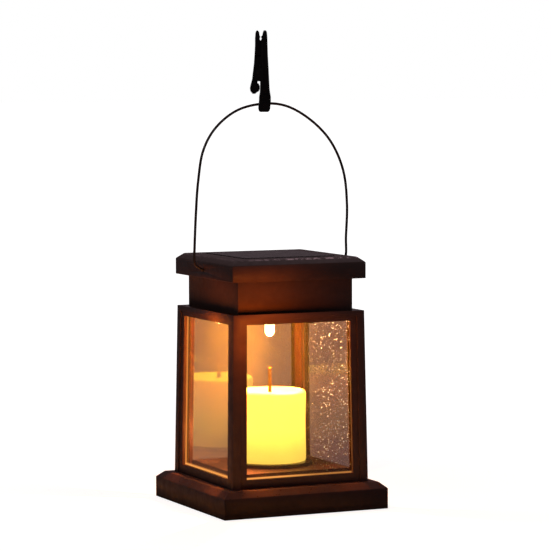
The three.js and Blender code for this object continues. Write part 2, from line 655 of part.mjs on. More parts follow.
function clipArm() {
  let arm = plate([
    [-2.2, -4.2], [1.9, -4.2], [2.6, -3.6], [3, -2.5], [3.1, -1], [3.3, 1], [3.3, 3.4],
    [2.85, 6], [2.65, 8], [2.25, 17], [1.85, 25], [1.6, 34], [1.4, 36.2], [0.9, 37],
    [-0.2, 37], [-0.6, 36.1], [-0.85, 34.8], [-1.2, 34.1], [-1.65, 33.9], [-1.65, 33.6],
    [-1.3, 33.2], [-1.35, 32.5], [-1.65, 32.1], [-1.65, 24], [-1, 22.8], [-1, 15.2],
    [-2.1, 12.3], [-2.15, 8], [-2.3, 5.5], [-2.65, 3.5], [-2.7, 1.5], [-3.05, -1.2],
    [-3.1, -2.5], [-2.8, -3.6],
  ]);
  const ridge = box(-2.35, -1.2, -0.4, 0.4, 23.5, 31.9); // down the middle of the jaw
  arm = join(arm, teeth(-1.65, -1, ...TEETH_Z, 9), ridge);
  arm = arm.subtract(rodY(KNUCKLE_ROOM_R, -CHEEK_IN, CHEEK_IN, pivotX, pivotZ));
  for (const side of [1, -1]) {
    const cheek = plate(CHEEK, CHEEK_OUT - CHEEK_IN);
    const band = plate(BAND, BAND_DEPTH + 1);
    arm = arm.add(cheek.translate([0, side * (CHEEK_OUT + CHEEK_IN) / 2, 0]));
    arm = arm.subtract(band.translate([0, side * (half + (1 - BAND_DEPTH) / 2), 0]));
  }
  return cut(
    arm.add(gripStuds()),
    rodY(PIN_R + 0.06, -half - 1, half + 1, pivotX, pivotZ, 16),
    box(-5, 5, -EYE_HALF_WIDTH, EYE_HALF_WIDTH, -EYE_HALF_HEIGHT, EYE_HALF_HEIGHT),
    box(-4, -1, -CHANNEL_HALF, CHANNEL_HALF, 4.9, 11.2), // channel for the lever's tongue
  );
}

function clipLever() {
  let lever = plate([
    [-1.95, 24], [-1.95, 32.1], [-2.2, 32.5], [-2.25, 33.2], [-1.95, 33.6], [-1.95, 33.9],
    [-2.25, 34.3], [-2.4, 35], [-2.55, 36.2], [-3.2, 37], [-4, 36.8], [-4.4, 35.6],
    [-4.6, 33], [-4.65, 29], [-4.9, 24.5], [-5.25, 20], [-5.75, 16], [-6.15, 12.5],
    [-6.8, 10], [-7.3, 7.9], [-7, 6.3], [-5.9, 5], [-4.6, 5], [-3.7, 5.8], [-3.35, 7.2],
    [-3.35, 8.8], [-3.5, 10.2], [-3.3, 12], [-2.9, 15], [-2.9, 22.8],
  ].reverse());
  lever = join(
    lever,
    teeth(-1.95, 1, ...TEETH_Z, 9),
    tailRibs(),
    plate(TONGUE, 2 * TONGUE_HALF),
  );
  lever = cut(
    lever,
    rodY(KNUCKLE_ROOM_R, KNUCKLE_THICK - LEVER_HALF, LEVER_HALF - KNUCKLE_THICK,
      pivotX, pivotZ),
    box(-2.75, -1.5, -0.65, 0.65, 23, 32.4), // groove that the arm's ridge presses into
  );
  for (const side of [1, -1]) {
    const [cut0, cut1] = between(LEVER_HALF, 5, side);
    const [y0, y1] = between(LEVER_HALF - KNUCKLE_THICK, LEVER_HALF, side);
    lever = lever.subtract(box(-8, 1, cut0, cut1, 10.7, 24.5));
    lever = lever.add(rodY(KNUCKLE_R, y0, y1, pivotX, pivotZ));
    lever = lever.add(
      box(pivotX - 2, pivotX, y0, y1, pivotZ - KNUCKLE_R, pivotZ + KNUCKLE_R));
  }
  return lever.subtract(rodY(PIN_R + 0.15, -half - 1, half + 1, pivotX, pivotZ, 16));
}

function clipSpring() {
  const turns = 3, perTurn = 12, coilR = 1.15, length = 1.3, points = [];
  points.push([pivotX - coilR, -length / 2, pivotZ - 1.5]);
  for (let i = 0; i <= turns * perTurn; i++) {
    const a = Math.PI + (i / perTurn) * 2 * Math.PI;
    points.push([
      pivotX + coilR * Math.cos(a),
      -length / 2 + (i / (turns * perTurn)) * length,
      pivotZ - coilR * Math.sin(a),
    ]);
  }
  return sweep(curveThrough(points), 0.2, turns * perTurn + 4, 6);
}

add("clip_arm", clipArm(), LOOKS.clip, clip);
add("clip_lever", clipLever(), LOOKS.clip, clip);
add("clip_pin", rodY(PIN_R, -CHEEK_OUT, CHEEK_OUT, pivotX, pivotZ, 16), LOOKS.clip, clip);
add("clip_spring", clipSpring(), LOOKS.steel, clip);

export default lantern;
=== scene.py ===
import math

import bmesh
import bpy
from mathutils import Matrix, Vector


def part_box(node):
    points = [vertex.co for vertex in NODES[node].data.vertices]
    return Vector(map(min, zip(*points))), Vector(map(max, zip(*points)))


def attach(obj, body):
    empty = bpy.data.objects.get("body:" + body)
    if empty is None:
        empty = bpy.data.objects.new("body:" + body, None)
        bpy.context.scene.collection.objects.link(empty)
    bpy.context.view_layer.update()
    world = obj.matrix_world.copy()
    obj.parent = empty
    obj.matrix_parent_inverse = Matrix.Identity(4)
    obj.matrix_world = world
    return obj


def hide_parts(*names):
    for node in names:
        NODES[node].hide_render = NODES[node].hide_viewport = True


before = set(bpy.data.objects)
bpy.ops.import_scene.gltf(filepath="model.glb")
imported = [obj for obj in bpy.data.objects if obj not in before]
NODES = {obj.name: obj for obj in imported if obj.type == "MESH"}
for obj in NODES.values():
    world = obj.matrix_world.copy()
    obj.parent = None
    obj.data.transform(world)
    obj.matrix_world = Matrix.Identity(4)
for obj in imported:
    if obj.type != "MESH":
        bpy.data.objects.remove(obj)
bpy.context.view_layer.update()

MM = 0.001

# ---- Camera -------------------------------------------------------------------------------

CAMERA_AT = Vector((-0.576, -1.266, 0.218))
CAMERA_YAW, CAMERA_PITCH, CAMERA_ROLL = 24.59, -4.175, -0.16  # degrees
FOCAL_PIXELS, FRAME_PIXELS = 2734, 551


def make_camera():
    yaw, pitch, roll = (math.radians(a) for a in (CAMERA_YAW, CAMERA_PITCH, CAMERA_ROLL))
    forward = Vector((
        math.sin(yaw) * math.cos(pitch),
        math.cos(yaw) * math.cos(pitch),
        math.sin(pitch),
    ))
    level = Vector((math.cos(yaw), -math.sin(yaw), 0))
    upright = level.cross(forward)
    right = level * math.cos(roll) + upright * math.sin(roll)
    up = upright * math.cos(roll) - level * math.sin(roll)
    data = bpy.data.cameras.new("camera")
    data.sensor_width = 36
    data.lens = 36 * FOCAL_PIXELS / FRAME_PIXELS
    data.clip_start, data.clip_end = 0.05, 50
    camera = bpy.data.objects.new("camera", data)
    turn = Matrix((right, up, -forward)).transposed().to_4x4()
    camera.matrix_world = Matrix.Translation(CAMERA_AT) @ turn
    bpy.context.scene.collection.objects.link(camera)
    bpy.context.scene.camera = camera


make_camera()

# ---- Node graph helpers -------------------------------------------------------------------


class Graph:
    """A material's node tree, with short ways to add and join nodes."""

    def __init__(self, name):
        self.material = bpy.data.materials.new(name)
        self.material.use_nodes = True
        self.tree = self.material.node_tree
        self.tree.nodes.clear()
        self.output = self.node("ShaderNodeOutputMaterial")

    def node(self, kind, **settings):
        made = self.tree.nodes.new(kind)
        for name, value in settings.items():
            setattr(made, name, value)
        return made

    def put(self, socket, value):
        """Joins a socket, or sets it to a plain value."""
        if isinstance(value, bpy.types.NodeSocket):
            self.tree.links.new(value, socket)
        elif socket.type == "RGBA" and len(value) == 3:
            socket.default_value = (*value, 1)
        else:
            socket.default_value = value

    def place(self, scale=1.0, stretch=(1, 1, 1)):
        """Object coordinates in millimetres, times a scale for each axis."""
        coords = self.node("ShaderNodeTexCoord").outputs["Object"]
        mapping = self.node("ShaderNodeMapping")
        self.put(mapping.inputs["Vector"], coords)
        mapping.inputs["Scale"].default_value = [1000 * scale * s for s in stretch]
        return mapping.outputs["Vector"]

    def noise(self, size_mm, detail=3, rough=0.5, stretch=(1, 1, 1)):
        """Noise from 0 to 1 whose blobs are about size_mm across."""
        made = self.node("ShaderNodeTexNoise")
        self.put(made.inputs["Vector"], self.place(1 / size_mm, stretch))
        made.inputs["Scale"].default_value = 1.0
        made.inputs["Detail"].default_value = detail
        made.inputs["Roughness"].default_value = rough
        return made.outputs["Fac"]

    def voronoi(self, size_mm, feature="F1"):
        made = self.node("ShaderNodeTexVoronoi", feature=feature)
        self.put(made.inputs["Vector"], self.place(1 / size_mm))
        made.inputs["Scale"].default_value = 1.0
        return made.outputs["Distance"]

    def span(self, value, low, high, to_low=0.0, to_high=1.0, smooth=False):
        """Maps low..high to to_low..to_high, clamped."""
        made = self.node("ShaderNodeMapRange")
        if smooth:
            made.interpolation_type = "SMOOTHSTEP"
        self.put(made.inputs["Value"], value)
        for name, number in (
            ("From Min", low), ("From Max", high), ("To Min", to_low), ("To Max", to_high)
        ):
            self.put(made.inputs[name], number)
        return made.outputs["Result"]

    def maths(self, operation, a, b=0.0):
        made = self.node("ShaderNodeMath", operation=operation)
        self.put(made.inputs[0], a)
        self.put(made.inputs[1], b)
        return made.outputs[0]

    def mix(self, factor, a, b):
        """Mixes two colours."""
        made = self.node("ShaderNodeMix", data_type="RGBA")
        self.put(made.inputs["Factor"], factor)
        for socket, value in zip([s for s in made.inputs if s.type == "RGBA"], (a, b)):
            self.put(socket, value)
        return next(s for s in made.outputs if s.type == "RGBA")

    def axis(self, which):
        """X, Y or Z in millimetres."""
        split = self.node("ShaderNodeSeparateXYZ")
        self.put(split.inputs[0], self.place())
        return split.outputs[which]

    def product(self, *factors):
        made = factors[0]
        for factor in factors[1:]:
            made = self.maths("MULTIPLY", made, factor)
        return made

    def upward(self, low, high):
        """1 on faces that look up, 0 on walls, by the normal's Z."""
        split = self.node("ShaderNodeSeparateXYZ")
        self.put(split.inputs[0], self.node("ShaderNodeNewGeometry").outputs["Normal"])
        return self.span(split.outputs["Z"], low, high)

    def flat_distance(self, pick="MAXIMUM"):
        """The larger or smaller of |x| and |y|, in millimetres."""
        return self.maths(pick, self.maths("ABSOLUTE", self.axis("X")),
                          self.maths("ABSOLUTE", self.axis("Y")))

    def drops(self, cell_mm, share):
        """Scattered round drops of many sizes: 1 in a drop, for a share of the cells."""
        made = self.node("ShaderNodeTexVoronoi")
        self.put(made.inputs["Vector"], self.place(1 / cell_mm))
        made.inputs["Scale"].default_value = 1.0
        pick = self.node("ShaderNodeSeparateColor")
        self.put(pick.inputs[0], made.outputs["Color"])
        size = self.span(pick.outputs["Red"], 1 - share, 1, 0.0, 0.3)
        return self.span(self.maths("SUBTRACT", size, made.outputs["Distance"]), 0.0, 0.05)

    def edges(self, radius_mm):
        """1 on sharp edges, 0 on flats."""
        bevel = self.node("ShaderNodeBevel", samples=4)
        bevel.inputs["Radius"].default_value = radius_mm * MM
        normal = self.node("ShaderNodeNewGeometry").outputs["Normal"]
        dot = self.node("ShaderNodeVectorMath", operation="DOT_PRODUCT")
        self.put(dot.inputs[0], bevel.outputs["Normal"])
        self.put(dot.inputs[1], normal)
        return self.span(dot.outputs["Value"], 0.99, 0.8)

    def bump(self, height, depth_mm, strength=1.0, normal=None):
        made = self.node("ShaderNodeBump")
        made.inputs["Strength"].default_value = strength
        made.inputs["Distance"].default_value = depth_mm * MM
        self.put(made.inputs["Height"], height)
        if normal is not None:
            self.put(made.inputs["Normal"], normal)
        return made.outputs["Normal"]

    def principled(self, **inputs):
        made = self.node("ShaderNodeBsdfPrincipled")
        for name, value in inputs.items():
            self.put(made.inputs[name.replace("_", " ")], value)
        self.put(self.output.inputs["Surface"], made.outputs["BSDF"])
        return made


def srgb(red, green, blue):
    """A colour given from 0 to 255, as linear numbers."""
    def linear(c):
        c /= 255
        return c / 12.92 if c <= 0.04045 else ((c + 0.055) / 1.055) ** 2.4
    return tuple(linear(c) for c in (red, green, blue))


# ---- Materials ----------------------------------------------------------------------------


DUST = (0.09, 0.05, 0.046)
# pale colour of the broken line round the lid's top edge: a painted highlight, with rubbed wear
RIM_HIGHLIGHT_AND_WEAR = (0.7, 0.52, 0.55)
RIM_HIGHLIGHT_INSIDE = 32.8  # the pale line, a painted highlight along the wet edge with some rubbing, runs outside this square, in millimetres from the axis
RIM_HIGHLIGHT_FADE_X = (-28, 0)  # and the painted highlight is faint to the left of these


def moulded_plastic(name, dark, light, rough=(0.38, 0.55), top_gloss=None, dust=0.0, rain=0.0,
                    rim_highlight_from=None, specular=0.5, rub_and_highlight=1.9):
    """Moulded plastic: a fine spark-eroded grain, faint flow marks, uneven gloss, edges rubbed
    paler, and where much paler a painted highlight.

    Faces that look up may be glossier, dusty, and wet with drops. Above the height it is given in
    millimetres the edge of the top is painted pale in patches: a painted highlight along the wet
    edge, with some rubbing.
    """
    g = Graph(name)
    flow = g.noise(14, 4, 0.55, (1, 1, 2.2))
    patches = g.noise(3.5, 5, 0.6)
    colour = g.mix(g.span(flow, 0.3, 0.7), dark, light)
    colour = g.mix(g.span(patches, 0.35, 0.9, 0, 0.35), colour, tuple(c * 0.7 for c in dark))
    # edges paler: rubbing, and with a large factor a painted highlight
    edge_rub_and_highlight = g.product(g.edges(0.35), g.span(g.noise(2.2, 4), 0.35, 0.75), 0.55)
    colour = g.mix(edge_rub_and_highlight, colour, tuple(c * rub_and_highlight for c in light))
    roughness = g.span(patches, 0.3, 0.75, *rough)
    if dust:
        settled = g.product(g.upward(0.4, 1.0), g.span(flow, 0.2, 0.8, dust * 0.7, dust))
        colour = g.mix(settled, colour, DUST)
    if top_gloss is not None:
        shine = g.span(g.upward(0.7, 0.95), 0, 1, 1, top_gloss)
        roughness = g.product(roughness, shine)
    # painted highlight, with some rubbing: a broken pale line round the top edge
    if rim_highlight_from is not None:
        band = g.span(g.axis("Z"), rim_highlight_from, rim_highlight_from + 0.12)
        rim = g.span(g.flat_distance(), RIM_HIGHLIGHT_INSIDE, RIM_HIGHLIGHT_INSIDE + 0.2)
        broken = g.span(g.noise(3.5, 4, 0.7), 0.44, 0.54)
        fade = g.span(g.axis("X"), *RIM_HIGHLIGHT_FADE_X, 0.15, 1)
        colour = g.mix(g.product(band, rim, broken, fade), colour, RIM_HIGHLIGHT_AND_WEAR)
    normal = g.bump(g.noise(0.35, 2, 0.6), 0.02, 0.6)
    normal = g.bump(g.noise(30, 2), 0.25, 0.5, normal)
    if rain:
        wet = g.product(g.drops(1.5, rain), g.upward(0.3, 0.6))
        roughness = g.product(roughness, g.span(wet, 0, 1, 1, 0.15))
        normal = g.bump(wet, 0.3, 0.9, normal)
    g.principled(
        Base_Color=colour, Roughness=roughness, Normal=normal, IOR=1.5,
        Specular_IOR_Level=specular,
    )
    return g.material


PANE_TINT = (0.81, 0.665, 0.545)
SHADED_RAINED_TINT = (0.64, 0.55, 0.53)  # the +X side, darker: painted shade, and the side where the weather came from
PANE_IOR_OUT, PANE_IOR_IN = 1.42, 2.1
PANE_LEAN, SIDE_LEAN = 0.0147, 0.0135  # how far a pane's faces and its sides come in with height
PANE_FACES = (34.1, 34.4)  # between a pane's two faces, from the axis at the floor
PANE_SIDES = (31.1, 31.25)  # where the slots in the posts begin
PANE_FOOT = (18.75, 18.55)  # height at which the slot in the base begins


def pane_outside(g):
    """1 on the outer face of a pane, 0 on its inner face, which carries a mirror-like film."""
    upright = g.maths("ADD", g.flat_distance(), g.product(g.axis("Z"), PANE_LEAN))
    return g.span(upright, *PANE_FACES)


def pane_painted_glow(g):
    """1 in the strip of a pane in its slots, which gets a painted glow standing for lamplight
    there.
    """
    upright = g.maths("ADD", g.flat_distance("MINIMUM"), g.product(g.axis("Z"), SIDE_LEAN))
    sides = g.span(upright, *PANE_SIDES, 0, 0.85)
    foot = g.product(g.span(g.axis("Z"), *PANE_FOOT), g.span(g.axis("X"), -10, 10, 0.6, 0.25))
    return g.maths("MAXIMUM", sides, foot)


def pane_drops(g):
    """1 in the rain drops on a pane: on its +X side, and on the front's upper left."""
    x, y, z = g.axis("X"), g.axis("Y"), g.axis("Z")
    upper_left = g.product(g.span(z, 60, 66), g.span(x, -12, -18), g.span(x, -32, -31))
    front = g.span(y, -30, -33, 0, 0.4)
    rained_on = g.maths("MAXIMUM", g.span(x, 3, 14), g.product(upper_left, front))
    sheltered = g.span(x, 31, 32, 1, 0.4)
    patches = g.span(g.noise(14, 3), 0.35, 0.55, 0.35, 1)
    drops = g.maths("MAXIMUM", g.drops(1.1, 0.5), g.drops(0.65, 0.5))
    return g.product(drops, rained_on, sheltered, patches)


def shader_mix(g, factor, first, second):
    made = g.node("ShaderNodeMixShader")
    for socket, value in zip(made.inputs, (factor, first.outputs[0], second.outputs[0])):
        g.put(socket, value)
    return made


def clear_pane(name):
    """Clear sheet with an amber smoke: it lets light through, mirrors, and has a breath of haze. It
    is painted darker towards +X as shade, and its edges in the slots carry a painted glow.
    """
    g = Graph(name)
    x = g.axis("X")
    through = g.node("ShaderNodeBsdfTransparent")
    tint = g.mix(g.span(g.noise(45, 2), 0.3, 0.7), PANE_TINT, tuple(c * 0.95 for c in PANE_TINT))
    # darker towards +X: painted shade
    g.put(through.inputs["Color"], g.mix(g.span(x, 0, 24), tint, SHADED_RAINED_TINT))
    haze = g.node("ShaderNodeBsdfDiffuse")
    haze.inputs["Color"].default_value = (0.85, 1, 0.2, 1)
    off_middle = g.maths("ABSOLUTE", g.maths("ADD", x, 6))
    touched = g.span(off_middle, 8, 24, 1.0, 0.12, smooth=True)
    breath = g.product(touched, g.span(g.noise(16, 5, 0.6), 0.3, 0.75, 0.015, 0.028))
    clouded = shader_mix(g, breath, through, haze)
    bead = g.node("ShaderNodeBsdfTranslucent")
    bead.inputs["Color"].default_value = (0.8, 0.9, 1, 1)
    rained = shader_mix(g, g.product(pane_drops(g), 0.42), clouded, bead)
    gloss = g.node("ShaderNodeBsdfGlossy")
    gloss.inputs["Color"].default_value = (1, 0.97, 0.93, 1)
    smear = g.noise(9, 5, 0.6, (1, 1, 0.6))
    g.put(gloss.inputs["Roughness"], g.span(smear, 0.4, 0.8, 0.015, 0.07))
    g.put(gloss.inputs["Normal"], g.bump(g.noise(22, 2), 0.06, 0.6))
    weight = g.node("ShaderNodeFresnel")
    behind = g.node("ShaderNodeNewGeometry").outputs["Backfacing"]
    index = g.span(pane_outside(g), 0, 1, PANE_IOR_IN, PANE_IOR_OUT)
    from_front = g.product(index, g.maths("SUBTRACT", 1.0, behind))
    from_behind = g.product(g.maths("DIVIDE", 1.0, index), behind)
    g.put(weight.inputs["IOR"], g.maths("ADD", from_front, from_behind))
    glazed = shader_mix(g, weight.outputs[0], rained, gloss)
    # painted glow on the pane's edges in its slots and along its foot
    rim = g.node("ShaderNodeEmission")
    rim.inputs["Color"].default_value = (1, 0.42, 0.1, 1)
    rim.inputs["Strength"].default_value = 1.15
    whole = shader_mix(g, pane_painted_glow(g), glazed, rim)
    g.put(g.output.inputs["Surface"], whole.outputs[0])
    return g.material


def metal(name, colour, rough=(0.25, 0.45), scratch_mm=0.5):
    """Plated steel with fine drawn scratches and dull patches."""
    g = Graph(name)
    scratches = g.noise(scratch_mm, 3, 0.6, (1, 1, 0.12))
    patches = g.noise(4, 4)
    tone = g.mix(g.span(patches, 0.3, 0.75), colour, tuple(c * 0.72 for c in colour))
    g.principled(
        Base_Color=tone, Metallic=1.0, Roughness=g.span(scratches, 0.25, 0.8, *rough),
        Normal=g.bump(scratches, 0.01, 0.5),
    )
    return g.material


def painted_wire(name):
    """Steel wire with thin dark paint, rubbed to bare metal in specks."""
    g = Graph(name)
    specks = g.span(g.noise(0.7, 4, 0.65), 0.62, 0.72)
    base = g.mix(g.span(g.noise(6, 3), 0.3, 0.7), srgb(24, 18, 15), srgb(38, 29, 24))
    colour = g.mix(g.product(specks, 0.5), base, srgb(96, 84, 74))
    g.principled(
        Base_Color=colour, Metallic=g.product(specks, 0.7),
        Roughness=g.span(g.noise(1.6, 3), 0.3, 0.7, 0.3, 0.5),
        Normal=g.bump(g.noise(0.35, 3), 0.02, 0.6),
    )
    return g.material


CANDLE_STOPS = (
    (0.0, (0.19, 0.175, 0.036)), (0.15, (0.2, 0.2, 0.038)), (0.3, (0.25, 0.26, 0.045)),
    (0.45, (0.35, 0.31, 0.055)), (0.75, (0.54, 0.34, 0.058)), (1.0, (0.8, 0.42, 0.062)),
)  # painted glow from the candle's foot, 0, to its top, 1
# painted glow on faces that look up, as if lit from above
CANDLE_CROWN = (0.95, 1.0, 0.055)


def lit_candle(name, foot, top):
    """Wax-like plastic with a painted glow standing for the lamp above lighting it, brightest at
    its top.
    """
    g = Graph(name)
    cloud = g.noise(13, 4, 0.55)
    drips = g.noise(5, 3, 0.5, (1, 1, 0.25))
    rise = g.maths("ADD", g.span(g.axis("Z"), foot, top), g.span(cloud, 0.2, 0.8, -0.04, 0.04))
    glow = g.node("ShaderNodeValToRGB")
    ramp = glow.color_ramp
    while len(ramp.elements) < len(CANDLE_STOPS):
        ramp.elements.new(0.5)
    for element, (at, colour) in zip(ramp.elements, CANDLE_STOPS):
        element.position = at
        element.color = (*colour, 1)
    g.put(glow.inputs["Fac"], rise)
    # painted light: faces that look up glow yellower
    tint = g.mix(g.upward(0.3, 0.95), glow.outputs["Color"], CANDLE_CROWN)
    g.principled(
        Base_Color=g.mix(g.span(cloud, 0.3, 0.7), srgb(245, 222, 165), srgb(250, 232, 184)),
        Roughness=g.span(g.noise(2.5, 4), 0.3, 0.7, 0.38, 0.55),
        Normal=g.bump(drips, 0.25, 0.35, g.bump(g.noise(0.8, 3), 0.03, 0.5)),
        Emission_Color=tint, Emission_Strength=g.span(drips, 0.2, 0.8, 9.7, 10.3),
    )
    return g.material


def wick_cord(name):
    """Brown plastic moulded like a twisted cord, with a painted glow standing for light from the
    candle below.
    """
    g = Graph(name)
    strands = g.node("ShaderNodeTexWave", wave_type="BANDS", bands_direction="DIAGONAL")
    g.put(strands.inputs["Vector"], g.place())
    strands.inputs["Scale"].default_value = 0.6
    strands.inputs["Distortion"].default_value = 1.2
    colour = g.mix(strands.outputs["Fac"], srgb(74, 34, 12), srgb(150, 84, 30))
    g.principled(
        Base_Color=colour, Roughness=0.75, Normal=g.bump(strands.outputs["Fac"], 0.15, 0.6),
        # painted glow, a little stronger higher up
        Emission_Color=(0.8, 0.25, 0.04, 1),
        Emission_Strength=g.span(g.axis("Z"), 57, 70, 0.22, 0.3),
    )
    return g.material


def lamp_lens(name):
    """Clear epoxy of a lit diode."""
    g = Graph(name)
    g.principled(
        Base_Color=g.mix(g.span(g.noise(1.2, 2), 0.3, 0.7), (1, 0.9, 0.6), (1, 0.96, 0.75)),
        Roughness=0.1, Normal=g.bump(g.noise(0.8, 2), 0.02, 0.3),
        Emission_Color=(1.0, 0.78, 0.33, 1),
        Emission_Strength=g.span(g.axis("Z"), 95, 86, 8.0, 45.0),  # brightest at its tip
    )
    return g.material


FINGER_PITCH = 1.7  # millimetres


def solar_cell(name):
    """Dark blue silicon with a faint crystal pattern and thin printed silver fingers."""
    g = Graph(name)
    crystal = g.voronoi(3.4)
    tone = g.mix(g.span(crystal, 0.1, 0.9), srgb(14, 16, 30), srgb(26, 29, 48))
    part = g.maths("FRACT", g.maths("DIVIDE", g.axis("Y"), FINGER_PITCH))
    finger = g.span(g.maths("ABSOLUTE", g.maths("SUBTRACT", part, 0.5)), 0.04, 0.055, 0.55, 0)
    tone = g.mix(finger, tone, srgb(150, 155, 165))
    g.principled(
        Base_Color=tone, Roughness=g.span(g.noise(6, 4), 0.3, 0.7, 0.25, 0.4),
        Normal=g.bump(crystal, 0.02, 0.3),
    )
    return g.material


def cast_resin(name):
    """Clear resin poured over the cells, a little dusty and scuffed."""
    g = Graph(name)
    through = g.node("ShaderNodeBsdfTransparent")
    through.inputs["Color"].default_value = (0.9, 0.92, 0.95, 1)
    scuffs = g.noise(1.8, 5, 0.65, (1, 0.3, 1))
    film = g.node("ShaderNodeBsdfPrincipled")
    g.put(film.inputs["Base Color"], srgb(58, 42, 44))
    g.put(film.inputs["Roughness"], g.span(scuffs, 0.35, 0.8, 0.08, 0.3))
    g.put(film.inputs["Normal"], g.bump(g.noise(7, 3), 0.15, 0.4))
    facing = g.node("ShaderNodeLayerWeight")
    facing.inputs["Blend"].default_value = 0.35
    dust = g.span(g.noise(5, 5, 0.6), 0.45, 0.8, 0.0, 0.12)
    mixed = shader_mix(g, g.maths("ADD", facing.outputs["Fresnel"], dust), through, film)
    g.put(g.output.inputs["Surface"], mixed.outputs[0])
    return g.material


def circuit_mask(name):
    """Green solder mask with lighter tracks."""
    g = Graph(name)
    tracks = g.voronoi(2.6, "DISTANCE_TO_EDGE")
    colour = g.mix(g.span(tracks, 0.04, 0.08), srgb(58, 120, 70), srgb(22, 78, 44))
    colour = g.mix(g.span(g.voronoi(3.1), 0.0, 0.12, 1, 0), colour, srgb(190, 190, 186))
    g.principled(Base_Color=colour, Roughness=g.span(tracks, 0, 0.1, 0.35, 0.5),
                 Normal=g.bump(tracks, 0.04, 0.3))
    return g.material


BROWN = (0.022, 0.0088, 0.0055), (0.033, 0.0135, 0.0085)
# the base's brown, much darker: painted shade, with some darkening from wet plastic
SHADED_WET_BROWN = [tuple(c * 0.4 for c in tone) for tone in BROWN]
housing = moulded_plastic("housing", *BROWN, (0.42, 0.6), top_gloss=0.45)
lid_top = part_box("lid")[1].z / MM
# the lid's top edge gets the painted highlight line
housing_lid = moulded_plastic("housing_lid", *BROWN, (0.42, 0.6), top_gloss=0.8, dust=0.6,
                              rim_highlight_from=lid_top - 0.7)
# base: darker brown as painted shade, and wet with drops
housing_base_shaded = moulded_plastic("housing_base_shaded", *SHADED_WET_BROWN, (0.5, 0.65), dust=0.4, rain=0.7,
                               specular=0.3)
pane = clear_pane("pane")
# edges of the black parts much paler: a painted highlight
black = moulded_plastic("black_plastic", (0.0022, 0.0022, 0.003), (0.004, 0.004, 0.0055),
                        (0.5, 0.7), specular=0.12, rub_and_highlight=6)
white = moulded_plastic("white_plastic", srgb(214, 208, 196), srgb(228, 224, 214))
red = moulded_plastic("red_insulation", srgb(150, 28, 22), srgb(172, 40, 32))
sleeve = moulded_plastic("battery_sleeve", srgb(38, 104, 66), srgb(52, 128, 82), (0.25, 0.4))
steel = metal("plated_steel", (0.56, 0.56, 0.58))
wire = painted_wire("painted_wire")
candle = lit_candle("lit_candle", *(corner.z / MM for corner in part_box("candle_shell")))
cord_wick = wick_cord("wick_cord")
lens = lamp_lens("lamp_lens")
cells = solar_cell("solar_cell")
resin = cast_resin("cast_resin")
mask = circuit_mask("circuit_mask")
backing_board = moulded_plastic("backing_board", (0.006, 0.007, 0.009), (0.011, 0.012, 0.016))

FINISHES = {
    housing: ["base_cover", "frame", "candle_seat", "neck_housing", "ceiling_plate", "led_bezel"],
    housing_lid: ["lid"],
    housing_base_shaded: ["base_shell"],
    pane: ["pane_front", "pane_right", "pane_back", "pane_left"],
    black: ["clip_arm", "clip_lever", "clip_pin", "switch_slider", "battery_holder",
            "panel_wire_black", "battery_wire_black"],
    white: ["switch_body"],
    red: ["panel_wire_red", "battery_wire_red"],
    sleeve: ["battery"],
    steel: ["clip_spring", "battery_spring", "battery_contact_plus",
            "battery_contact_minus", "led_anode", "led_cathode", "candle_screw_1",
            "candle_screw_2"]
           + [f"{which}_screw_{i}" for which in ("base", "cap") for i in range(1, 5)],
    wire: ["bail"],
    candle: ["candle_shell"],
    cord_wick: ["candle_wick"],
    lens: ["led_lens"],
    cells: ["solar_board"],
    resin: ["solar_resin"],
    mask: ["circuit_board"],
}
for material, names in FINISHES.items():
    for name in names:
        NODES[name].data.materials.clear()
        NODES[name].data.materials.append(material)

SHARP_DEGREES = 30


def soften(name, width_mm):
    """Welds a CAD node's split corners and rounds its edges a little, as moulding does."""
    node = NODES[name]
    weld = node.modifiers.new("weld", "WELD")
    weld.merge_threshold = 1e-6
    bevel = node.modifiers.new("bevel", "BEVEL")
    bevel.width = width_mm * MM
    bevel.segments = 2
    bevel.limit_method = "ANGLE"
    bevel.angle_limit = math.radians(SHARP_DEGREES)
    bevel.harden_normals = True
    node.data.shade_smooth()


SOFT_EDGES = {  # radii in millimetres
    "base_shell": 0.45, "base_cover": 0.2, "frame": 0.3, "neck_housing": 0.4, "lid": 0.45,
    "ceiling_plate": 0.15, "candle_seat": 0.2, "led_bezel": 0.15, "clip_arm": 0.25,
    "clip_lever": 0.25, "battery_holder": 0.15, "switch_slider": 0.15, "switch_body": 0.2,
}
for name, width in SOFT_EDGES.items():
    soften(name, width)

# ---- Pieces made here ---------------------------------------------------------------------


def skin(name, rings, looped=False, smooth_angle=35):
    """A closed mesh through rings of points: capped at both ends, or looped end to start."""
    made = bmesh.new()
    loops = [[made.verts.new(point) for point in ring] for ring in rings]
    for low, high in zip(loops, loops[1:] + loops[:1] if looped else loops[1:]):
        for i in range(len(low)):
            j = (i + 1) % len(low)
            made.faces.new((low[i], low[j], high[j], high[i]))
    if not looped:
        made.faces.new(loops[0][::-1])
        made.faces.new(loops[-1])
    return finished(name, made, smooth_angle)


def finished(name, made, smooth_angle=35):
    """A bmesh, its normals put right, as a smooth-shaded mesh with sharp edges where it turns."""
    bmesh.ops.recalc_face_normals(made, faces=made.faces)
    mesh = bpy.data.meshes.new(name)
    made.to_mesh(mesh)
    made.free()
    mesh.shade_smooth()
    mesh.set_sharp_from_angle(angle=math.radians(smooth_angle))
    return mesh


def turned(profile, sides, shape=None):
    """Rings in metres from a profile of radius and height in millimetres.

    shape(radius, angle, height) may change the radius and height round the ring.
    """
    rings = []
    for radius, height in profile:
        ring = []
        for i in range(sides):
            angle = 2 * math.pi * i / sides
            r, z = shape(radius, angle, height) if shape else (radius, height)
            ring.append((r * math.cos(angle) * MM, r * math.sin(angle) * MM, z * MM))
        rings.append(ring)
    return rings


